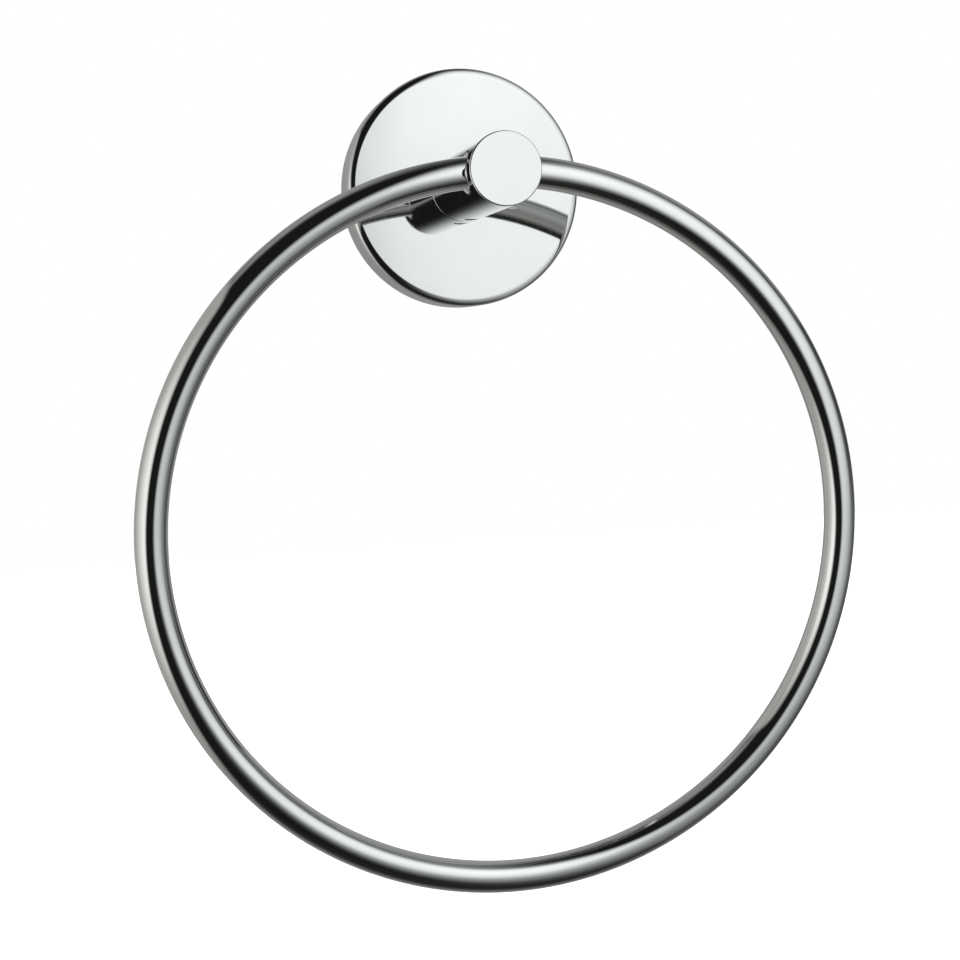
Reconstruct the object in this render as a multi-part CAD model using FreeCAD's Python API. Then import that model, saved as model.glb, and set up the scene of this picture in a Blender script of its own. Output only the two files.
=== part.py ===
"""Wall-mounted towel ring: a ring hanging from a round post on a cup-shaped wall flange.

The wall is the plane y = 0 and the part stands out towards -Y. The post's axis is the Y axis.
The origin lies on the wall at the centre of the fixing screws, +Z is up and sizes are in millimetres.
Depth means the distance out from the wall, so a point at depth d has y = -d.
"""
import FreeCAD, Part

import math
import os

# Flange: a round cup that hides the wall bracket
flange_diameter = 65.0
flange_depth = 13.0
flange_wall = 1.5
flange_edge_radius = 2.0
flange_rear_break = 0.3

# Post: a turned bar with a stepped foot, a rear socket and a cross bore
post_diameter = 18.6
post_projection = 60.0
post_edge_break = 0.35
post_foot_break = 0.4
socket_depth = 24.0
spigot_wall = 1.4
spigot_length = 1.2
spigot_clearance = 0.1

# Ring: a bent tube whose two ends meet on a pin inside the post
ring_tube_diameter = 8.2
ring_tube_wall = 1.0
ring_centre_diameter = 182.0
ring_setback = 8.5
bore_running_clearance = 0.08
bore_mouth_radius = 0.8
ring_joint_gap = 0.2
joint_pin_length = 14.0
joint_pin_clearance = 0.05

# Wall bracket: a disc with a raised centre and three countersunk screw holes
bracket_rim_clearance = 2.5
bracket_thickness = 3.0
bracket_edge_radius = 0.8
boss_wall = 3.5
boss_height = 2.0
wall_screw_count = 3
first_wall_screw_angle = 90.0
wall_screw_hole_diameter = 4.6
wall_screw_countersink_depth = 2.0
wall_screw_edge_distance = 8.0

# Stud: a turned pin that carries the post, held to the bracket from behind
stud_diameter = 11.0
stud_clearance = 0.1
stud_end_gap = 1.0
stud_end_radius = 0.8
thread_clearance = 0.05

# Stud screw: a countersunk screw with a hexagon socket
stud_screw_diameter = 5.0
stud_screw_length = 12.0
stud_screw_head_rise = 2.2
stud_screw_head_inset = 0.2
stud_screw_hole_reserve = 2.0
stud_screw_key_width = 3.0
stud_screw_key_depth = 1.5

# Grub screw: a cone-point screw that locks the post to the stud from below
grub_diameter = 4.0
grub_setback = 7.0
grub_inset = 0.6
grub_tip_reach = 0.9
grub_tip_radius = 0.4
grub_key_width = 2.0
grub_key_depth = 1.6

# Dimensions that follow from the ones above
post_radius = post_diameter / 2
tube_radius = ring_tube_diameter / 2
ring_radius = ring_centre_diameter / 2
bore_depth = post_projection - ring_setback
arc_rise = ring_radius - math.sqrt(ring_radius ** 2 - post_radius ** 2)
bore_radius = tube_radius + arc_rise / 2 + bore_running_clearance
ring_drop = ring_radius - arc_rise / 2
stud_radius = stud_diameter / 2
socket_radius = stud_radius + stud_clearance
spigot_radius = socket_radius + spigot_wall
flange_hole_radius = spigot_radius + spigot_clearance
flange_radius = flange_diameter / 2
flange_inner_radius = flange_radius - flange_wall
bracket_radius = flange_inner_radius - bracket_rim_clearance
boss_radius = stud_radius + boss_wall
boss_depth = bracket_thickness + boss_height
stud_end_depth = flange_depth + socket_depth - stud_end_gap
screw_circle_radius = bracket_radius - wall_screw_edge_distance
grub_depth = flange_depth + grub_setback


def at_depth(depth):
    """The point of the post's axis at this distance from the wall."""
    return FreeCAD.Vector(0, -depth, 0)


OUTWARD = FreeCAD.Vector(0, -1, 0)
ALONG_BORE = FreeCAD.Vector(1, 0, 0)
UP = FreeCAD.Vector(0, 0, 1)
HEXAGON_SIDES = 6


def rounded_outline(corners):
    """A closed wire through (radius, depth, rounding) corners in the XY plane."""
    points = [FreeCAD.Vector(radius, -depth, 0) for radius, depth, rounding in corners]
    edges = []
    last_end = None
    first_start = None
    for index, corner in enumerate(corners):
        point = points[index]
        start = end = point
        rounding = corner[2]
        if rounding > 0:
            back = (points[index - 1] - point).normalize()
            ahead = (points[(index + 1) % len(points)] - point).normalize()
            half_angle = back.getAngle(ahead) / 2
            inward = (back + ahead).normalize()
            start = point + back * (rounding / math.tan(half_angle))
            end = point + ahead * (rounding / math.tan(half_angle))
            middle = point + inward * (rounding / math.sin(half_angle) - rounding)
        if last_end is None:
            first_start = start
        else:
            edges.append(Part.makeLine(last_end, start))
        if rounding > 0:
            edges.append(Part.Arc(start, middle, end).toShape())
        last_end = end
    edges.append(Part.makeLine(last_end, first_start))
    return Part.Wire(edges)


def turned(corners):
    """A solid of revolution about the post's axis from (radius, depth, rounding) corners."""
    face = Part.Face(rounded_outline(corners))
    return face.revolve(FreeCAD.Vector(0, 0, 0), FreeCAD.Vector(0, 1, 0), 360)


def hexagon_socket(width, depth, mouth, direction):
    """A hexagonal recess of this width across flats, cut from its mouth along a direction."""
    corner_radius = width / math.sqrt(3)
    side = direction.cross(ALONG_BORE).normalize() * corner_radius
    turn = FreeCAD.Rotation(direction, 360 / HEXAGON_SIDES)
    points = [mouth + side]
    for _ in range(HEXAGON_SIDES):
        side = turn.multVec(side)
        points.append(mouth + side)
    return Part.Face(Part.makePolygon(points)).extrude(direction * depth)


def make_wall_flange():
    inner_rounding = max(flange_edge_radius - flange_wall, flange_rear_break)
    face_depth = flange_depth - flange_wall
    return turned([
        (flange_radius, 0, flange_rear_break),
        (flange_radius, flange_depth, flange_edge_radius),
        (flange_hole_radius, flange_depth, 0),
        (flange_hole_radius, face_depth, 0),
        (flange_inner_radius, face_depth, inner_rounding),
        (flange_inner_radius, 0, 0),
    ])


def stud_screw_radii(allowance):
    """The radii of the stud screw's shank and of its head's flat top, grown by an allowance."""
    shank = stud_screw_diameter / 2 + allowance
    head = shank + stud_screw_head_rise
    return shank, head


def make_wall_bracket():
    hole, countersink = stud_screw_radii(thread_clearance)
    bracket = turned([
        (countersink, 0, 0),
        (bracket_radius, 0, 0),
        (bracket_radius, bracket_thickness, bracket_edge_radius),
        (boss_radius, bracket_thickness, 0),
        (boss_radius, boss_depth, bracket_edge_radius),
        (hole, boss_depth, 0),
        (hole, stud_screw_head_inset + stud_screw_head_rise, 0),
        (countersink, stud_screw_head_inset, 0),
    ])
    screw_hole_radius = wall_screw_hole_diameter / 2
    mouth_radius = screw_hole_radius + wall_screw_countersink_depth
    cone_start = bracket_thickness - wall_screw_countersink_depth
    for number in range(wall_screw_count):
        angle = math.radians(first_wall_screw_angle + 360 * number / wall_screw_count)
        across = screw_circle_radius * math.cos(angle)
        height = screw_circle_radius * math.sin(angle)
        hole_base = FreeCAD.Vector(across, 0, height)
        cone_base = FreeCAD.Vector(across, -cone_start, height)
        drill = Part.makeCylinder(screw_hole_radius, bracket_thickness, hole_base, OUTWARD)
        sink = Part.makeCone(
            screw_hole_radius, mouth_radius, wall_screw_countersink_depth, cone_base, OUTWARD)
        bracket = bracket.cut(drill).cut(sink)
    return bracket


def make_stud_screw():
    shank, head = stud_screw_radii(0)
    head_depth = stud_screw_head_inset + stud_screw_head_rise
    end_depth = stud_screw_head_inset + stud_screw_length
    body = turned([
        (0, stud_screw_head_inset, 0),
        (head, stud_screw_head_inset, 0),
        (shank, head_depth, 0),
        (shank, end_depth, 0),
        (0, end_depth, 0),
    ])
    mouth = at_depth(stud_screw_head_inset)
    return body.cut(hexagon_socket(stud_screw_key_width, stud_screw_key_depth, mouth, OUTWARD))


def make_bracket_stud():
    hole = stud_screw_diameter / 2 + thread_clearance
    hole_end = stud_screw_head_inset + stud_screw_length + stud_screw_hole_reserve
    stud = turned([
        (hole, boss_depth, 0),
        (stud_radius, boss_depth, 0),
        (stud_radius, stud_end_depth, stud_end_radius),
        (0, stud_end_depth, 0),
        (0, hole_end, 0),
        (hole, hole_end, 0),
    ])
    return stud.cut(grub_cone(thread_clearance))


def grub_cone(allowance):
    """The grub screw's 90 degree point, up to the screw's full width, grown by an allowance."""
    tip_height = -(stud_radius - grub_tip_reach) + allowance
    tip_radius = grub_tip_radius + allowance
    cone_length = grub_diameter / 2 - grub_tip_radius
    tip = FreeCAD.Vector(0, -grub_depth, tip_height)
    return Part.makeCone(tip_radius, tip_radius + cone_length, cone_length, tip, -UP)


def make_grub_screw():
    cone_length = grub_diameter / 2 - grub_tip_radius
    top = -(stud_radius - grub_tip_reach) - cone_length
    bottom = -(post_radius - grub_inset)
    base = FreeCAD.Vector(0, -grub_depth, bottom)
    body = Part.makeCylinder(grub_diameter / 2, top - bottom, base, UP)
    screw = body.fuse(grub_cone(0)).removeSplitter()
    return screw.cut(hexagon_socket(grub_key_width, grub_key_depth, base, UP))


def make_post():
    foot_depth = flange_depth - spigot_length
    socket_end = flange_depth + socket_depth
    post = turned([
        (0, post_projection, 0),
        (post_radius, post_projection, post_edge_break),
        (post_radius, flange_depth, post_foot_break),
        (spigot_radius, flange_depth, 0),
        (spigot_radius, foot_depth, 0),
        (socket_radius, foot_depth, 0),
        (socket_radius, socket_end, 0),
        (0, socket_end, 0),
    ])
    bore_start = FreeCAD.Vector(-post_diameter, -bore_depth, 0)
    post = post.cut(Part.makeCylinder(bore_radius, 2 * post_diameter, bore_start, ALONG_BORE))
    post = post.makeFillet(bore_mouth_radius, bore_mouth_edges(post))
    grub_start = FreeCAD.Vector(0, -grub_depth, -post_diameter)
    grub_radius = grub_diameter / 2 + thread_clearance
    return post.cut(Part.makeCylinder(grub_radius, post_diameter, grub_start, UP))


def bore_mouth_edges(post):
    """The two edges where the cross bore breaks through the side of the post."""
    half_way_out = post_radius / 2
    edges = []
    for edge in post.Edges:
        box = edge.BoundBox
        around_bore = abs(box.Center.y + bore_depth) < bore_running_clearance
        if around_bore and abs(box.Center.x) > half_way_out:
            edges.append(edge)
    return edges


def bent_rod(outer_radius, hole_radius, start_angle, sweep_angle):
    """A rod or tube that follows the ring, from an angle past the top and clockwise from the front."""
    centre = FreeCAD.Vector(0, -bore_depth, -ring_drop)
    angle = math.radians(start_angle)
    outward = FreeCAD.Vector(math.sin(angle), 0, math.cos(angle))
    tangent = FreeCAD.Vector(math.cos(angle), 0, -math.sin(angle))
    middle = centre + outward * ring_radius
    section = Part.Face(Part.Wire(Part.makeCircle(outer_radius, middle, tangent)))
    if hole_radius > 0:
        section = section.cut(Part.Face(Part.Wire(Part.makeCircle(hole_radius, middle, tangent))))
        section = section.Faces[0]
    return section.revolve(centre, FreeCAD.Vector(0, 1, 0), sweep_angle)


def make_ring():
    gap_angle = math.degrees(ring_joint_gap / ring_radius)
    return bent_rod(tube_radius, tube_radius - ring_tube_wall, gap_angle / 2, 360 - gap_angle)


def make_ring_joint_pin():
    pin_radius = tube_radius - ring_tube_wall - joint_pin_clearance
    pin_angle = math.degrees(joint_pin_length / ring_radius)
    return bent_rod(pin_radius, 0, -pin_angle / 2, pin_angle)


def main():
    makers = {
        "wall_flange": make_wall_flange,
        "wall_bracket": make_wall_bracket,
        "stud_screw": make_stud_screw,
        "bracket_stud": make_bracket_stud,
        "grub_screw": make_grub_screw,
        "post": make_post,
        "ring": make_ring,
        "ring_joint_pin": make_ring_joint_pin,
    }
    os.makedirs("parts", exist_ok=True)
    for name, make in makers.items():
        shape = make()
        if len(shape.Solids) == 1:
            shape = shape.Solids[0]
        shape.exportStep("parts/" + name + ".step")
        box = shape.BoundBox
        print("%-15s solids %d valid %s volume %9.1f box %.2f %.2f %.2f to %.2f %.2f %.2f" % (
            name, len(shape.Solids), shape.isValid(), shape.Volume,
            box.XMin, box.YMin, box.ZMin, box.XMax, box.YMax, box.ZMax))


main()
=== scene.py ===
"""A polished chrome towel ring on a cup-shaped wall flange, with a small studio around it.

The wall is the plane y = 0 and the part stands out towards -Y. Depth means the distance out from
the wall, so a point at depth d has y = -d. The post's axis is the Y axis, +Z is up, and all lengths
are in metres.
"""

import math
from collections import namedtuple

import bmesh
import bpy
from bpy.props import FloatProperty, FloatVectorProperty, IntProperty, PointerProperty
from mathutils import Matrix, Vector


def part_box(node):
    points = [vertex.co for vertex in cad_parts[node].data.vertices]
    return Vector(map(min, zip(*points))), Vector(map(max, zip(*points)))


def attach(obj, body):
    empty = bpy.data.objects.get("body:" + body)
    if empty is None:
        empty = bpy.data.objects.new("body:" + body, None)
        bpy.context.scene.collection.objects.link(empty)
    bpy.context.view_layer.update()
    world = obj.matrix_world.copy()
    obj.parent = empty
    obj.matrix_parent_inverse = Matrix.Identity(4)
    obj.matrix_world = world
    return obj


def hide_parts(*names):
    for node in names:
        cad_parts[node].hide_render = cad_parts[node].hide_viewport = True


bl_info = {
    "name": "Chrome towel ring",
    "version": (1, 0, 0),
    "blender": (4, 5, 0),
    "location": "3D View > Sidebar > Towel Ring",
    "description": "Dresses a wall-mounted towel ring in polished chrome and lights it in a studio",
    "category": "Add Mesh",
}

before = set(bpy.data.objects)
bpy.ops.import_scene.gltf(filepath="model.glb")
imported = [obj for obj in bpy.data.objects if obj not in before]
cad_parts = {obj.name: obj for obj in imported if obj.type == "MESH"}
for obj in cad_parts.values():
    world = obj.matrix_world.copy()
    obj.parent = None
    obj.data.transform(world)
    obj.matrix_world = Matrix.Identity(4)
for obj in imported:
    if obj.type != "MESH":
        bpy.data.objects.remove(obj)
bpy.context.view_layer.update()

FIXED_BODY = "wall_mount"
SWINGING_BODY = "swinging_ring"
POST_AXIS = Vector((0, 1, 0))
SHARP_ANGLE = math.radians(35)
FLAT_FACE_WEIGHT = 100
HEXAGON_SIDES = 6
SENSOR_WIDTH = 36.0

# The share of its colour that worked metal keeps in its dull patches, and the roughness that its
# scratches add.
DULL_SHARE = 0.82
SCRATCH_ROUGHNESS = 0.18

# A thread's depth, the widths of its crest and root and the distance within which its turns are
# merged, all as shares of its pitch, and the turns past its two ends that are cut off again.
THREAD_DEPTH = 0.61
CREST_WIDTH = 0.125
ROOT_WIDTH = 0.25
MERGE_DISTANCE = 0.005
TURNS_BEFORE = 2
TURNS_AFTER = 1

# The reflection cards stand around a point a little above the ring's centre, and each is cut from
# a sheet that reaches this far to each side. The black tent stands around the studio.
CARDS_CENTRE = Vector((0, -0.0515, -0.07))
CARD_SHEET_REACH = 4.0
TENT_CENTRE = Vector((0, 0, 0.5))
TENT_SIZE = 4.0


def nominal(length):
    """A length read from a faceted solid, rounded to a tenth of a millimetre."""
    return round(length, 4)


flange_low, flange_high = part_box("wall_flange")
ring_low, ring_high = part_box("ring")
stud_screw_low, stud_screw_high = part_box("stud_screw")
grub_low, grub_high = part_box("grub_screw")


class TowelRingSizes(bpy.types.PropertyGroup):
    """Sizes of the pieces that are modelled here around the construction model."""

    flange_diameter: FloatProperty(
        name="Flange diameter",
        description="Outside diameter of the cup that hides the wall bracket",
        default=nominal(flange_high.x - flange_low.x), unit="LENGTH")
    flange_depth: FloatProperty(
        name="Flange depth",
        description="Distance from the wall to the flange's face",
        default=nominal(flange_high.y - flange_low.y), unit="LENGTH")
    flange_wall: FloatProperty(
        name="Flange wall",
        description="Thickness of the flange's drawn sheet",
        default=0.0015, unit="LENGTH")
    flange_edge_width: FloatProperty(
        name="Flange edge width",
        description="How far the buffed edge reaches in across the flange's face",
        default=0.0013, unit="LENGTH")
    flange_edge_drop: FloatProperty(
        name="Flange edge drop",
        description="How far the buffed edge reaches back along the flange's rim",
        default=0.00075, unit="LENGTH")
    flange_face_blend: FloatProperty(
        name="Flange face blend",
        description="Length of the soft rounding between the flange's face and its edge",
        default=0.0008, unit="LENGTH")
    flange_rim_blend: FloatProperty(
        name="Flange rim blend",
        description="Length of the tighter rounding between the flange's edge and its rim",
        default=0.00065, unit="LENGTH")
    flange_inner_rounding: FloatProperty(
        name="Flange inner rounding",
        description="Rounding inside the flange, behind its edge",
        default=0.0005, unit="LENGTH")
    flange_rear_break: FloatProperty(
        name="Flange rear edge break",
        description="Small rounding where the rim meets the wall",
        default=0.0003, unit="LENGTH")
    flange_hole_diameter: FloatProperty(
        name="Flange hole diameter",
        description="Hole in the face that the post's foot stands in",
        default=0.0142, unit="LENGTH")
    ring_diameter: FloatProperty(
        name="Ring diameter",
        description="Outside diameter of the towel ring",
        default=nominal(ring_high.x - ring_low.x), unit="LENGTH")
    tube_diameter: FloatProperty(
        name="Tube diameter",
        description="Diameter of the tube that the ring is bent from",
        default=nominal(ring_high.y - ring_low.y), unit="LENGTH")
    tube_wall: FloatProperty(
        name="Tube wall",
        description="Wall thickness of the ring's tube",
        default=0.001, unit="LENGTH")
    ring_joint_gap: FloatProperty(
        name="Ring joint gap",
        description="Gap between the tube's two ends, inside the post",
        default=0.0002, unit="LENGTH")
    stud_screw_diameter: FloatProperty(
        name="Stud screw diameter",
        description="Thread diameter of the countersunk screw that holds the stud",
        default=0.005, unit="LENGTH")
    stud_screw_pitch: FloatProperty(
        name="Stud screw pitch",
        description="Distance from one turn of the stud screw's thread to the next",
        default=0.0008, unit="LENGTH")
    stud_screw_head_rise: FloatProperty(
        name="Stud screw head rise",
        description="Height of the stud screw's countersunk head",
        default=0.0022, unit="LENGTH")
    stud_screw_key_width: FloatProperty(
        name="Stud screw key width",
        description="Width across flats of the stud screw's hexagon socket",
        default=0.003, unit="LENGTH")
    stud_screw_key_depth: FloatProperty(
        name="Stud screw key depth",
        description="Depth of the stud screw's hexagon socket",
        default=0.0015, unit="LENGTH")
    grub_diameter: FloatProperty(
        name="Grub screw diameter",
        description="Thread diameter of the screw that locks the post from below",
        default=nominal(grub_high.x - grub_low.x), unit="LENGTH")
    grub_pitch: FloatProperty(
        name="Grub screw pitch",
        description="Distance from one turn of the grub screw's thread to the next",
        default=0.0007, unit="LENGTH")
    grub_tip_radius: FloatProperty(
        name="Grub screw tip radius",
        description="Radius of the flat at the end of the grub screw's point",
        default=0.0004, unit="LENGTH")
    grub_key_width: FloatProperty(
        name="Grub screw key width",
        description="Width across flats of the grub screw's hexagon socket",
        default=0.002, unit="LENGTH")
    grub_key_depth: FloatProperty(
        name="Grub screw key depth",
        description="Depth of the grub screw's hexagon socket",
        default=0.0016, unit="LENGTH")
    thread_steps: IntProperty(
        name="Thread steps",
        description="Steps around one turn of a screw's thread",
        default=72)
    turning_steps: IntProperty(
        name="Turning steps",
        description="Steps around a turned piece",
        default=256)
    bending_steps: IntProperty(
        name="Bending steps",
        description="Steps around the ring",
        default=512)
    tube_sides: IntProperty(
        name="Tube sides",
        description="Steps around the tube's outside",
        default=64)
    rounding_steps: IntProperty(
        name="Rounding steps",
        description="Steps across a rounded edge",
        default=14)


class TowelRingFinish(bpy.types.PropertyGroup):
    """Colours and roughnesses of the metals."""

    chrome_colour: FloatVectorProperty(
        name="Chrome colour",
        description="Colour of the polished chrome plating",
        default=(0.865, 0.872, 0.872), subtype="COLOR")
    chrome_haze_colour: FloatVectorProperty(
        name="Chrome haze colour",
        description="Colour of the plating where the polish is slightly hazy",
        default=(0.815, 0.823, 0.825), subtype="COLOR")
    chrome_roughness: FloatProperty(
        name="Chrome roughness",
        description="Roughness of the best polished plating",
        default=0.03, subtype="FACTOR")
    chrome_marks: FloatProperty(
        name="Chrome marks",
        description="How much rougher the plating is in its polishing marks",
        default=0.025, subtype="FACTOR")
    steel_colour: FloatVectorProperty(
        name="Steel colour",
        description="Colour of the zinc-plated steel bracket",
        default=(0.62, 0.62, 0.60), subtype="COLOR")
    screw_colour: FloatVectorProperty(
        name="Screw colour",
        description="Colour of the blackened steel screws",
        default=(0.30, 0.30, 0.31), subtype="COLOR")
    brass_colour: FloatVectorProperty(
        name="Brass colour",
        description="Colour of the turned brass stud",
        default=(0.78, 0.58, 0.30), subtype="COLOR")


class TowelRingStudio(bpy.types.PropertyGroup):
    """Camera, floor and plain light."""

    camera_location: FloatVectorProperty(
        name="Camera location",
        description="Where the camera stands",
        default=(-0.0990, -0.4507, -0.0426), subtype="TRANSLATION")
    camera_heading: FloatProperty(
        name="Camera heading",
        description="Turn of the view to the right of the wall's normal",
        default=math.radians(12.85), subtype="ANGLE")
    camera_pitch: FloatProperty(
        name="Camera pitch",
        description="Tilt of the view above the horizon",
        default=math.radians(-4.88), subtype="ANGLE")
    camera_roll: FloatProperty(
        name="Camera roll",
        description="Anticlockwise turn of the camera about the view",
        default=math.radians(-2.36), subtype="ANGLE")
    camera_lens: FloatProperty(
        name="Lens",
        description="Focal length on a 36 mm wide sensor, in millimetres",
        default=60.37)
    floor_drop: FloatProperty(
        name="Floor drop",
        description="Height of the post's axis above the floor",
        default=1.6, unit="LENGTH")
    floor_width: FloatProperty(
        name="Floor width",
        description="Width and length of the floor",
        default=24.0, unit="LENGTH")
    paper_colour: FloatVectorProperty(
        name="Paper colour",
        description="Colour of the paper on the floor",
        default=(0.86, 0.86, 0.86), subtype="COLOR")
    fill_light: FloatProperty(
        name="Fill light",
        description="Strength of the even light from all around",
        default=0.55)
    tent_light: FloatProperty(
        name="Tent light",
        description="Strength of the black tent, as reflections show it",
        default=0.01)


def size_settings():
    """The sizes, as they are set in the scene."""
    return bpy.context.scene.towel_ring_sizes


def finish_settings():
    """The metals' colours and roughnesses, as they are set in the scene."""
    return bpy.context.scene.towel_ring_finish


def studio_settings():
    """The camera, the floor and the plain light, as they are set in the scene."""
    return bpy.context.scene.towel_ring_studio


def turned_shape(corners, sizes):
    """A shape turned about the post's axis from a closed outline of (radius, depth, rounding)."""
    shape = bmesh.new()
    points = [shape.verts.new((radius, -depth, 0)) for radius, depth, rounding in corners]
    for index, point in enumerate(points):
        shape.edges.new((points[index - 1], point))
    for point, (radius, depth, rounding) in zip(points, corners):
        if rounding > 0:
            bmesh.ops.bevel(
                shape, geom=[point], offset=rounding, offset_type="OFFSET",
                segments=sizes.rounding_steps, profile=0.5, affect="VERTICES", material=-1)
    bmesh.ops.spin(
        shape, geom=shape.verts[:] + shape.edges[:], cent=(0, 0, 0), axis=POST_AXIS,
        angle=2 * math.pi, steps=sizes.turning_steps, use_merge=True)
    bmesh.ops.recalc_face_normals(shape, faces=shape.faces)
    return shape


def new_object(name, shape, material):
    """Makes an object of a shape and a material, in the scene and at the origin."""
    mesh = bpy.data.meshes.new(name)
    shape.to_mesh(mesh)
    shape.free()
    mesh.materials.append(material)
    model = bpy.data.objects.new(name, mesh)
    bpy.context.scene.collection.objects.link(model)
    return model


def add_piece(name, shape, material, body, replaced):
    """Adds a smooth piece that rides on a body and stands for a construction piece."""
    piece = new_object(name, shape, material)
    piece.data.shade_smooth()
    piece.data.set_sharp_from_angle(angle=SHARP_ANGLE)
    keep_flats_flat = piece.modifiers.new("Keep flats flat", "WEIGHTED_NORMAL")
    keep_flats_flat.mode = "FACE_AREA"
    keep_flats_flat.weight = FLAT_FACE_WEIGHT
    keep_flats_flat.keep_sharp = True
    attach(piece, body)
    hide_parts(replaced)


def refinish(node, material):
    """Gives a construction piece a finish in place of its plain one."""
    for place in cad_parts[node].material_slots:
        place.material = material


def blank_material(name):
    """A material without a shader, its node tree and the socket that its shader goes to."""
    material = bpy.data.materials.new(name)
    material.use_nodes = True
    tree = material.node_tree
    tree.nodes.clear()
    output = tree.nodes.new("ShaderNodeOutputMaterial")
    return material, tree, output.inputs["Surface"]


def metal_material(name):
    """A material with a plain metal shader, its node tree and that shader."""
    material, tree, surface = blank_material(name)
    metal = tree.nodes.new("ShaderNodeBsdfPrincipled")
    metal.inputs["Metallic"].default_value = 1.0
    tree.links.new(metal.outputs["BSDF"], surface)
    return material, tree, metal


def pattern(tree, scale, detail, stretch=(1, 1, 1)):
    """Noise in the piece's own coordinates, stretched along its axes."""
    place = tree.nodes.new("ShaderNodeTexCoord")
    mapping = tree.nodes.new("ShaderNodeMapping")
    mapping.inputs["Scale"].default_value = stretch
    noise = tree.nodes.new("ShaderNodeTexNoise")
    noise.inputs["Scale"].default_value = scale
    noise.inputs["Detail"].default_value = detail
    tree.links.new(place.outputs["Object"], mapping.inputs["Vector"])
    tree.links.new(mapping.outputs["Vector"], noise.inputs["Vector"])
    return noise.outputs["Fac"]


def spread(tree, value, low, high, start=0.35, end=0.65, how="LINEAR"):
    """Carries values from start to end, by default a pattern's middle range, over to low to high."""
    node = tree.nodes.new("ShaderNodeMapRange")
    node.interpolation_type = how
    node.inputs["From Min"].default_value = start
    node.inputs["From Max"].default_value = end
    node.inputs["To Min"].default_value = low
    node.inputs["To Max"].default_value = high
    tree.links.new(value, node.inputs["Value"])
    return node.outputs["Result"]


def two_colours(tree, value, first, second):
    """Goes from one colour to another as a value rises from 0 to 1."""
    node = tree.nodes.new("ShaderNodeMix")
    node.data_type = "RGBA"
    node.inputs["A"].default_value = (*first, 1)
    node.inputs["B"].default_value = (*second, 1)
    tree.links.new(value, node.inputs["Factor"])
    return node.outputs["Result"]


def raised(tree, value, strength, distance):
    """Fine relief: the normals of a surface that a pattern raises."""
    node = tree.nodes.new("ShaderNodeBump")
    node.inputs["Strength"].default_value = strength
    node.inputs["Distance"].default_value = distance
    tree.links.new(value, node.inputs["Height"])
    return node.outputs["Normal"]


def polished_chrome(name):
    """Mirror-bright plating: a faint haze, hair-fine polishing marks and a barely wavy surface."""
    finish = finish_settings()
    material, tree, metal = metal_material(name)
    haze = pattern(tree, scale=38, detail=3)
    marks = pattern(tree, scale=900, detail=2, stretch=(1, 0.12, 1))
    colour = two_colours(
        tree, spread(tree, haze, low=0, high=1), finish.chrome_colour, finish.chrome_haze_colour)
    roughness = spread(
        tree, marks, low=finish.chrome_roughness,
        high=finish.chrome_roughness + finish.chrome_marks, start=0.45, end=0.85)
    waviness = raised(tree, haze, strength=0.03, distance=0.0002)
    tree.links.new(colour, metal.inputs["Base Color"])
    tree.links.new(roughness, metal.inputs["Roughness"])
    tree.links.new(waviness, metal.inputs["Normal"])
    return material


def brushed_metal(name, colour, roughness, grain):
    """Worked metal: fine brushing or turning marks, drawn out along its grain, and dull patches."""
    material, tree, metal = metal_material(name)
    brushing = pattern(tree, scale=700, detail=3, stretch=grain)
    patches = pattern(tree, scale=90, detail=4)
    dull_colour = [channel * DULL_SHARE for channel in colour]
    shade = two_colours(tree, spread(tree, patches, low=0, high=1), colour, dull_colour)
    dullness = spread(tree, brushing, low=roughness, high=roughness + SCRATCH_ROUGHNESS)
    scratches = raised(tree, brushing, strength=0.25, distance=0.00005)
    tree.links.new(shade, metal.inputs["Base Color"])
    tree.links.new(dullness, metal.inputs["Roughness"])
    tree.links.new(scratches, metal.inputs["Normal"])
    return material


class TOWELRING_OT_wall_flange(bpy.types.Operator):
    """Turn the chrome cup that covers the wall bracket"""

    bl_idname = "towel_ring.wall_flange"
    bl_label = "Wall Flange"

    def execute(self, context):
        sizes = size_settings()
        radius = sizes.flange_diameter / 2
        hole = sizes.flange_hole_diameter / 2
        depth = sizes.flange_depth
        wall = sizes.flange_wall
        # The outline runs along the rim, in across the face to the hole, and back on the inside.
        shape = turned_shape([
            (radius, 0, sizes.flange_rear_break),
            (radius, depth - sizes.flange_edge_drop, sizes.flange_rim_blend),
            (radius - sizes.flange_edge_width, depth, sizes.flange_face_blend),
            (hole, depth, 0),
            (hole, depth - wall, 0),
            (radius - wall, depth - wall, sizes.flange_inner_rounding),
            (radius - wall, 0, 0),
        ], sizes)
        chrome = polished_chrome("Flange chrome")
        add_piece("flange_cup", shape, chrome, FIXED_BODY, "wall_flange")
        return {"FINISHED"}


class TOWELRING_OT_post(bpy.types.Operator):
    """Give the turned post its chrome"""

    bl_idname = "towel_ring.post"
    bl_label = "Post"

    def execute(self, context):
        refinish("post", polished_chrome("Post chrome"))
        return {"FINISHED"}


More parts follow.
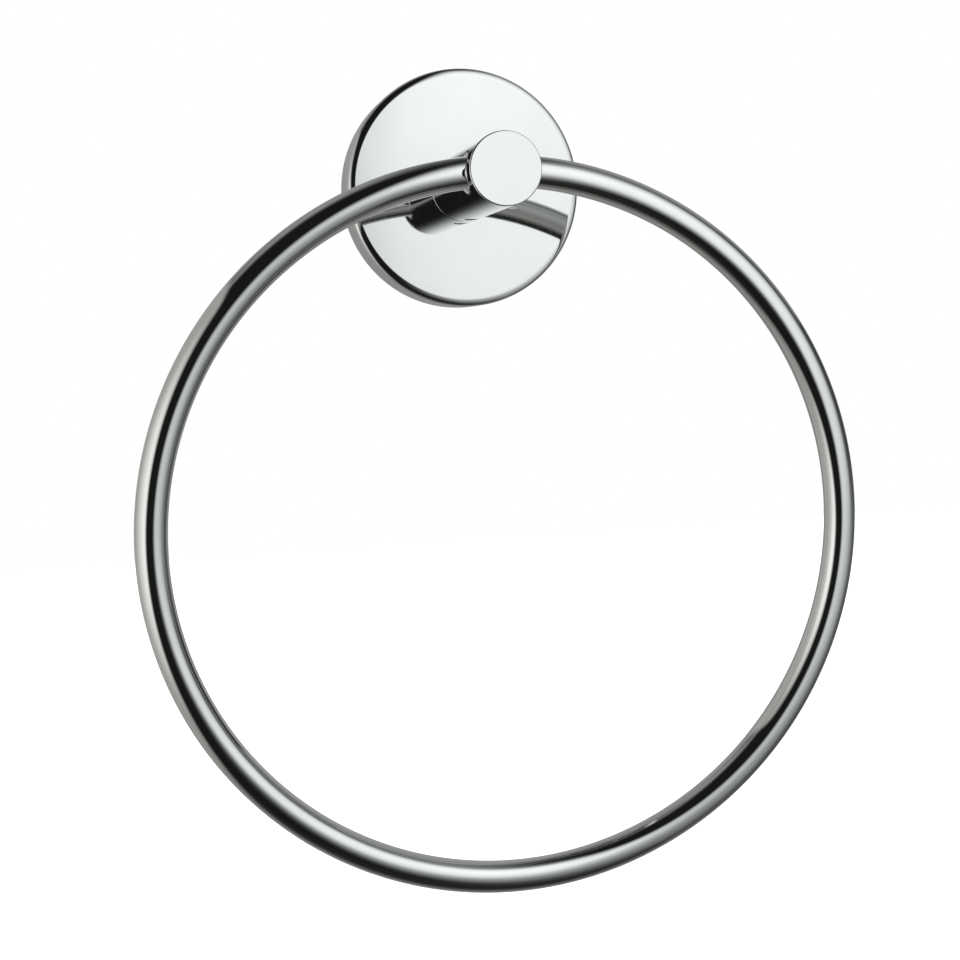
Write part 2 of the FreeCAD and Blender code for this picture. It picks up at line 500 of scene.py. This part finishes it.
class TOWELRING_OT_ring(bpy.types.Operator):
    """Bend the ring's tube and close it inside the post"""

    bl_idname = "towel_ring.ring"
    bl_label = "Ring"

    def execute(self, context):
        sizes = size_settings()
        tube_radius = sizes.tube_diameter / 2
        bend_radius = sizes.ring_diameter / 2 - tube_radius
        middle_y = (ring_low.y + ring_high.y) / 2
        centre = Vector((0, middle_y, ring_high.z - sizes.ring_diameter / 2))
        gap_angle = sizes.ring_joint_gap / bend_radius
        shape = bmesh.new()
        across_tube = (
            Matrix.Translation(centre)
            @ Matrix.Rotation(gap_angle / 2, 4, POST_AXIS)
            @ Matrix.Translation((0, 0, bend_radius))
            @ Matrix.Rotation(math.pi / 2, 4, POST_AXIS))
        for radius, sides in (
                (tube_radius, sizes.tube_sides),
                (tube_radius - sizes.tube_wall, sizes.tube_sides // 2)):
            bmesh.ops.create_circle(
                shape, cap_ends=False, segments=sides, radius=radius, matrix=across_tube)
        bmesh.ops.spin(
            shape, geom=shape.verts[:] + shape.edges[:], cent=centre, axis=POST_AXIS,
            angle=2 * math.pi - gap_angle, steps=sizes.bending_steps)
        open_edges = [edge for edge in shape.edges if edge.is_boundary]
        for at_start in (True, False):
            end_loops = [
                edge for edge in open_edges if (edge.verts[0].co.x > 0) == at_start]
            bmesh.ops.bridge_loops(shape, edges=end_loops)
        bmesh.ops.recalc_face_normals(shape, faces=shape.faces)
        chrome = polished_chrome("Ring chrome")
        add_piece("ring_tube", shape, chrome, SWINGING_BODY, "ring")
        return {"FINISHED"}


def level_loop(shape, radius, height, sides, steps):
    """The edges of a polygon around +Z, whose sides are divided so that it has so many steps."""
    earlier = set(shape.edges)
    bmesh.ops.create_circle(
        shape, cap_ends=False, segments=sides, radius=radius,
        matrix=Matrix.Translation((0, 0, height)))
    if steps > sides:
        bmesh.ops.subdivide_edges(
            shape, edges=[edge for edge in shape.edges if edge not in earlier],
            cuts=steps // sides - 1)
    return [edge for edge in shape.edges if edge not in earlier]


def threaded_surface(radius, pitch, start, end, steps):
    """A V-shaped thread around +Z, as an open surface that is cut flat at its start and its end."""
    root = radius - THREAD_DEPTH * pitch
    one_turn = (
        (radius, -CREST_WIDTH / 2), (radius, CREST_WIDTH / 2),
        (root, 0.5 - ROOT_WIDTH / 2), (root, 0.5 + ROOT_WIDTH / 2))
    shape = bmesh.new()
    points = []
    for turn in range(-TURNS_BEFORE, math.ceil((end - start) / pitch) + TURNS_AFTER):
        for distance, share in one_turn:
            points.append(shape.verts.new((distance, 0, start + (turn + share) * pitch)))
    for first, second in zip(points, points[1:]):
        shape.edges.new((first, second))
    bmesh.ops.spin(
        shape, geom=shape.verts[:] + shape.edges[:], cent=(0, 0, 0), axis=(0, 0, 1),
        dvec=(0, 0, pitch / steps), angle=2 * math.pi, steps=steps)
    bmesh.ops.remove_doubles(shape, verts=shape.verts, dist=pitch * MERGE_DISTANCE)
    for height, outward in ((start, -1), (end, 1)):
        bmesh.ops.bisect_plane(
            shape, geom=shape.verts[:] + shape.edges[:] + shape.faces[:],
            plane_co=(0, 0, height), plane_no=(0, 0, outward), clear_outer=True)
    return shape


def socket_screw(radius, pitch, key, head, thread, point, steps):
    """A screw along +Z with a hexagon socket in its first end.

    key is the socket's (width across flats, depth) and thread is the thread's (start, end). head
    and point are the circles before and after the thread, each as (radius, height).
    """
    start, end = thread
    shape = threaded_surface(radius, pitch, start, end, steps)
    rims = [edge for edge in shape.edges if edge.is_boundary]
    halfway = (start + end) / 2
    first_rim = [edge for edge in rims if edge.verts[0].co.z < halfway]
    last_rim = [edge for edge in rims if edge.verts[0].co.z > halfway]
    key_width, key_depth = key
    corner_radius = key_width / math.sqrt(3)
    front = [
        level_loop(shape, corner_radius, height, HEXAGON_SIDES, steps)
        for height in (key_depth, 0)]
    front += [level_loop(shape, *ring, steps, steps) for ring in head] + [first_rim]
    back = [last_rim] + [level_loop(shape, *ring, steps, steps) for ring in point]
    for loops in (front, back):
        for first, second in zip(loops, loops[1:]):
            bmesh.ops.bridge_loops(shape, edges=first + second)
    bmesh.ops.holes_fill(shape, edges=front[0] + back[-1], sides=0)
    bmesh.ops.recalc_face_normals(shape, faces=shape.faces)
    return shape


class TOWELRING_OT_screws(bpy.types.Operator):
    """Cut the threads and sockets of the stud screw and the grub screw"""

    bl_idname = "towel_ring.screws"
    bl_label = "Screws"

    def execute(self, context):
        sizes = size_settings()
        steel = brushed_metal(
            "Screw steel", finish_settings().screw_colour, roughness=0.28, grain=(1, 0.1, 1))
        steps = sizes.thread_steps

        screw_radius = sizes.stud_screw_diameter / 2
        screw_length = nominal(stud_screw_high.y - stud_screw_low.y)
        chamfer = THREAD_DEPTH * sizes.stud_screw_pitch
        stud_screw = socket_screw(
            screw_radius, sizes.stud_screw_pitch,
            key=(sizes.stud_screw_key_width, sizes.stud_screw_key_depth),
            head=[
                (screw_radius + sizes.stud_screw_head_rise, 0),
                (screw_radius, sizes.stud_screw_head_rise)],
            thread=(sizes.stud_screw_head_rise + chamfer, screw_length - chamfer),
            point=[(screw_radius - chamfer, screw_length)], steps=steps)
        stud_screw.transform(
            Matrix.Translation((0, nominal(stud_screw_high.y), 0))
            @ Matrix.Rotation(math.pi / 2, 4, "X"))
        add_piece("stud_screw_thread", stud_screw, steel, FIXED_BODY, "stud_screw")

        grub_radius = sizes.grub_diameter / 2
        grub_length = nominal(grub_high.z - grub_low.z)
        point_length = grub_radius - sizes.grub_tip_radius
        rim = THREAD_DEPTH * sizes.grub_pitch / 2
        grub_screw = socket_screw(
            grub_radius, sizes.grub_pitch,
            key=(sizes.grub_key_width, sizes.grub_key_depth),
            head=[(grub_radius - rim, 0)],
            thread=(rim, grub_length - point_length),
            point=[(sizes.grub_tip_radius, grub_length)], steps=steps)
        grub_screw.transform(
            Matrix.Translation((0, nominal((grub_low.y + grub_high.y) / 2), nominal(grub_low.z))))
        add_piece("grub_screw_thread", grub_screw, steel, FIXED_BODY, "grub_screw")
        return {"FINISHED"}


class TOWELRING_OT_bracket(bpy.types.Operator):
    """Finish the bracket, the stud and the ring's joint pin"""

    bl_idname = "towel_ring.bracket"
    bl_label = "Bracket and Stud"

    def execute(self, context):
        finish = finish_settings()
        steel = brushed_metal(
            "Bracket steel", finish.steel_colour, roughness=0.32, grain=(0.04, 1, 1))
        brass = brushed_metal(
            "Stud brass", finish.brass_colour, roughness=0.22, grain=(0.03, 1, 0.03))
        refinish("wall_bracket", steel)
        refinish("bracket_stud", brass)
        refinish("ring_joint_pin", brass)
        return {"FINISHED"}


class TOWELRING_OT_studio(bpy.types.Operator):
    """Set up the camera, the plain light, the floor and the reflection cards"""

    bl_idname = "towel_ring.studio"
    bl_label = "Studio"

    def execute(self, context):
        studio = studio_settings()
        add_camera(studio)
        add_surroundings(studio)
        add_floor(studio)
        add_black_tent(studio)
        for card in REFLECTION_CARDS:
            add_card(card)
        context.scene.view_settings.view_transform = "Standard"
        return {"FINISHED"}


def add_camera(studio):
    """Adds the camera, to the left of the towel ring and a little above its middle."""
    camera = bpy.data.cameras.new("Camera")
    camera.lens = studio.camera_lens
    camera.sensor_width = SENSOR_WIDTH
    holder = bpy.data.objects.new("Camera", camera)
    holder.matrix_world = (
        Matrix.Translation(studio.camera_location)
        @ Matrix.Rotation(-studio.camera_heading, 4, "Z")
        @ Matrix.Rotation(math.pi / 2 + studio.camera_pitch, 4, "X")
        @ Matrix.Rotation(studio.camera_roll, 4, "Z"))
    bpy.context.scene.collection.objects.link(holder)
    bpy.context.scene.camera = holder


def seen_directly(tree):
    """1 for camera, glossy and transmission rays, which see a white background, and 0 for others."""
    rays = tree.nodes.new("ShaderNodeLightPath")
    either = rays.outputs["Is Camera Ray"]
    for other in ("Is Glossy Ray", "Is Transmission Ray"):
        larger = tree.nodes.new("ShaderNodeMath")
        larger.operation = "MAXIMUM"
        tree.links.new(either, larger.inputs[0])
        tree.links.new(rays.outputs[other], larger.inputs[1])
        either = larger.outputs["Value"]
    return either


def add_surroundings(studio):
    """Adds a world that looks white and gives an even light."""
    world = bpy.data.worlds.new("Studio air")
    world.use_nodes = True
    tree = world.node_tree
    tree.nodes.clear()
    output = tree.nodes.new("ShaderNodeOutputWorld")
    mix = tree.nodes.new("ShaderNodeMixShader")
    fill = tree.nodes.new("ShaderNodeBackground")
    fill.inputs["Strength"].default_value = studio.fill_light
    white = tree.nodes.new("ShaderNodeBackground")
    white.inputs["Color"].default_value = (1, 1, 1, 1)
    tree.links.new(seen_directly(tree), mix.inputs["Fac"])
    tree.links.new(fill.outputs["Background"], mix.inputs[1])
    tree.links.new(white.outputs["Background"], mix.inputs[2])
    tree.links.new(mix.outputs["Shader"], output.inputs["Surface"])
    bpy.context.scene.world = world


def add_floor(studio):
    """Adds a floor of pale paper that looks white and takes soft shadows."""
    shape = bmesh.new()
    bmesh.ops.create_grid(
        shape, x_segments=1, y_segments=1, size=studio.floor_width / 2,
        matrix=Matrix.Translation((0, 0, -studio.floor_drop)))
    material, tree, surface = blank_material("Floor paper")
    paper = tree.nodes.new("ShaderNodeBsdfDiffuse")
    paper.inputs["Color"].default_value = (*studio.paper_colour, 1)
    glow = tree.nodes.new("ShaderNodeEmission")
    both = tree.nodes.new("ShaderNodeAddShader")
    tree.links.new(seen_directly(tree), glow.inputs["Strength"])
    tree.links.new(paper.outputs["BSDF"], both.inputs[0])
    tree.links.new(glow.outputs["Emission"], both.inputs[1])
    tree.links.new(both.outputs["Shader"], surface)
    new_object("Floor", shape, material)


# A card stands at a heading to the right of straight out from the wall, at a pitch above the
# horizon and at a distance from the cards' centre. Angles are in degrees. Seen from outside, its
# sides lie at angles that turn anticlockwise from its right, each at its reach from the card's
# middle, and fade over their blur. The glow is added to the card's brightness at the glow's place,
# given across and up the card, and dies away over the glow's reach, given in the same way.
Side = namedtuple("Side", "angle reach blur")
Card = namedtuple(
    "Card", "name heading pitch distance brightness tint sides glow glow_place glow_reach",
    defaults=(0, (0, 0), (1, 1)))

REFLECTION_CARDS = (
    Card(
        "Rear wall", heading=180, pitch=0, distance=0.90, brightness=0.23, tint=(0.98, 1, 0.99),
        glow=0.15, glow_place=(-1.00, 0.35), glow_reach=(2.70, 0.90),
        sides=(
            Side(0, 1.50, 0.02), Side(90, 1.30, 0.02),
            Side(180, 1.50, 0.02), Side(270, 1.30, 0.02))),
    Card(
        "Right wall", heading=90, pitch=0, distance=0.90, brightness=0.10, tint=(0.96, 1, 0.99),
        sides=(
            Side(0, 0.20, 1.90), Side(90, 1.80, 0.60),
            Side(180, 1.50, 0.60), Side(270, 1.80, 0.60))),
    Card(
        "Ceiling", heading=0, pitch=90, distance=0.70, brightness=0.30, tint=(0.97, 1, 0.99),
        glow=-0.25, glow_place=(0.10, 0.10), glow_reach=(0.35, 0.70),
        sides=(
            Side(-60, 0.75, 0.90), Side(120, 0.70, 0.80),
            Side(150, 0.85, 0.80), Side(275, -0.05, 0.50))),
    Card(
        "Table", heading=0, pitch=-90, distance=0.70, brightness=0.26, tint=(1.03, 1, 0.95),
        glow=-0.24, glow_place=(0, 0.20), glow_reach=(2.30, 0.80),
        sides=(
            Side(15, 0.50, 0.40), Side(115, 0.20, 0.80),
            Side(180, 1.00, 0.50), Side(285, 0.95, 0.50))),
    Card(
        "Left reflector", heading=-90, pitch=0, distance=0.36, brightness=0.39,
        tint=(1.03, 1, 0.96), glow=0.80, glow_place=(0.35, 0), glow_reach=(0.60, 0.35),
        sides=(
            Side(10, 0.35, 0.40), Side(85, 0.35, 0.05), Side(180, 1.10, 0.05),
            Side(265, 0.40, 0.45), Side(-40, 0.32, 0.20))),
    Card(
        "Lower right softbox", heading=50, pitch=10, distance=0.33, brightness=0.10,
        tint=(0.965, 1, 0.995), glow=0.80, glow_place=(-0.15, 0.35), glow_reach=(0.60, 1.15),
        sides=(
            Side(30, 0.90, 0.50), Side(93, -0.12, 0.10), Side(130, 0.12, 0.20),
            Side(250, 0.50, 1.30))),
    Card(
        "Upper right softbox", heading=30, pitch=0, distance=0.42, brightness=0.27,
        tint=(0.97, 1, 1), glow=0.87, glow_place=(-0.05, 0.25), glow_reach=(0.65, 0.70),
        sides=(
            Side(-10, 0.40, 0.35), Side(140, 0.75, 0.85), Side(210, 0.18, 0.20),
            Side(260, 0.15, 0.10), Side(175, 0.23, 0.15))),
)


def across(side):
    """The direction from the card's centre towards a side, square to its edge."""
    angle = math.radians(side.angle)
    return Vector((math.cos(angle), math.sin(angle), 0))


def calculated(tree, kind, operation, *values):
    """Adds a Math or Vector Math node to a card's material and feeds it values or sockets."""
    node = tree.nodes.new(kind)
    node.operation = operation
    for socket, value in zip(node.inputs, values):
        if isinstance(value, bpy.types.NodeSocket):
            tree.links.new(value, socket)
        else:
            socket.default_value = value
    scalar = kind == "ShaderNodeMath" or operation in ("DOT_PRODUCT", "LENGTH")
    return node.outputs["Value" if scalar else "Vector"]


def card_cover(tree, place, sides):
    """1 on the card, falling softly to 0 across each of its sides."""
    cover = 1
    for side in sides:
        distance = calculated(tree, "ShaderNodeVectorMath", "DOT_PRODUCT", place, across(side))
        within = spread(
            tree, distance, low=1, high=0, start=side.reach - side.blur / 2,
            end=side.reach + side.blur / 2, how="SMOOTHSTEP")
        cover = calculated(tree, "ShaderNodeMath", "MULTIPLY", cover, within)
    return cover


def card_strength(tree, place, card):
    """The card's brightness, which rises or falls towards one place on it."""
    offset = calculated(
        tree, "ShaderNodeVectorMath", "SUBTRACT", place, (*card.glow_place, 0))
    share = calculated(
        tree, "ShaderNodeVectorMath", "DIVIDE", offset, (*card.glow_reach, 1))
    distance = calculated(tree, "ShaderNodeVectorMath", "LENGTH", share)
    return spread(
        tree, distance, low=card.brightness + card.glow, high=card.brightness, start=0, end=1,
        how="SMOOTHSTEP")


def add_reflected(name, shape, material):
    """Adds a part of the studio that only reflections see."""
    scenery = new_object(name, shape, material)
    scenery.visible_camera = False
    scenery.visible_diffuse = False
    scenery.visible_shadow = False
    return scenery


def add_black_tent(studio):
    """Adds a tent around the studio, so that reflections are dark where no card stands."""
    shape = bmesh.new()
    bmesh.ops.create_cube(shape, size=TENT_SIZE, matrix=Matrix.Translation(TENT_CENTRE))
    material, tree, surface = blank_material("Black tent")
    light = tree.nodes.new("ShaderNodeEmission")
    light.inputs["Strength"].default_value = studio.tent_light
    tree.links.new(light.outputs["Emission"], surface)
    add_reflected("Black tent", shape, material)


def add_card(card):
    """Adds a sheet of light that is cut to its sides and has soft edges."""
    shape = bmesh.new()
    bmesh.ops.create_grid(shape, x_segments=1, y_segments=1, size=CARD_SHEET_REACH)
    for side in card.sides:
        edge = side.reach + side.blur / 2
        bmesh.ops.bisect_plane(
            shape, geom=shape.verts[:] + shape.edges[:] + shape.faces[:],
            plane_co=across(side) * edge, plane_no=across(side), clear_outer=True)
    material, tree, surface = blank_material(card.name)
    clear = tree.nodes.new("ShaderNodeBsdfTransparent")
    light = tree.nodes.new("ShaderNodeEmission")
    light.inputs["Color"].default_value = (*card.tint, 1)
    place = tree.nodes.new("ShaderNodeTexCoord").outputs["Object"]
    cover = card_cover(tree, place, card.sides)
    strength = card_strength(tree, place, card)
    mix = tree.nodes.new("ShaderNodeMixShader")
    tree.links.new(strength, light.inputs["Strength"])
    tree.links.new(cover, mix.inputs["Fac"])
    tree.links.new(clear.outputs["BSDF"], mix.inputs[1])
    tree.links.new(light.outputs["Emission"], mix.inputs[2])
    tree.links.new(mix.outputs["Shader"], surface)
    sheet = add_reflected(card.name, shape, material)
    sheet.matrix_world = (
        Matrix.Translation(CARDS_CENTRE)
        @ Matrix.Rotation(math.radians(card.heading), 4, "Z")
        @ Matrix.Rotation(math.radians(90 - card.pitch), 4, "X")
        @ Matrix.Translation((0, 0, card.distance)))


class TOWELRING_PT_sidebar(bpy.types.Panel):
    """Lists the towel ring's pieces and its studio"""

    bl_idname = "TOWELRING_PT_sidebar"
    bl_label = "Towel Ring"
    bl_space_type = "VIEW_3D"
    bl_region_type = "UI"
    bl_category = "Towel Ring"

    def draw(self, context):
        for operator in OPERATORS:
            self.layout.operator(operator.bl_idname)


SETTINGS = {
    "towel_ring_sizes": TowelRingSizes,
    "towel_ring_finish": TowelRingFinish,
    "towel_ring_studio": TowelRingStudio,
}
OPERATORS = (
    TOWELRING_OT_wall_flange,
    TOWELRING_OT_post,
    TOWELRING_OT_ring,
    TOWELRING_OT_bracket,
    TOWELRING_OT_screws,
    TOWELRING_OT_studio,
)


def register():
    """Adds the settings, the operators and the panel."""
    for name, group in SETTINGS.items():
        bpy.utils.register_class(group)
        setattr(bpy.types.Scene, name, PointerProperty(type=group))
    for member in (*OPERATORS, TOWELRING_PT_sidebar):
        bpy.utils.register_class(member)


def unregister():
    """Takes the panel, the operators and the settings away again."""
    for member in (TOWELRING_PT_sidebar, *reversed(OPERATORS)):
        bpy.utils.unregister_class(member)
    for name, group in SETTINGS.items():
        delattr(bpy.types.Scene, name)
        bpy.utils.unregister_class(group)


def main():
    """Makes the towel ring and its studio."""
    register()
    bpy.ops.towel_ring.wall_flange()
    bpy.ops.towel_ring.post()
    bpy.ops.towel_ring.ring()
    bpy.ops.towel_ring.bracket()
    bpy.ops.towel_ring.screws()
    bpy.ops.towel_ring.studio()


if __name__ == "__main__":
    main()
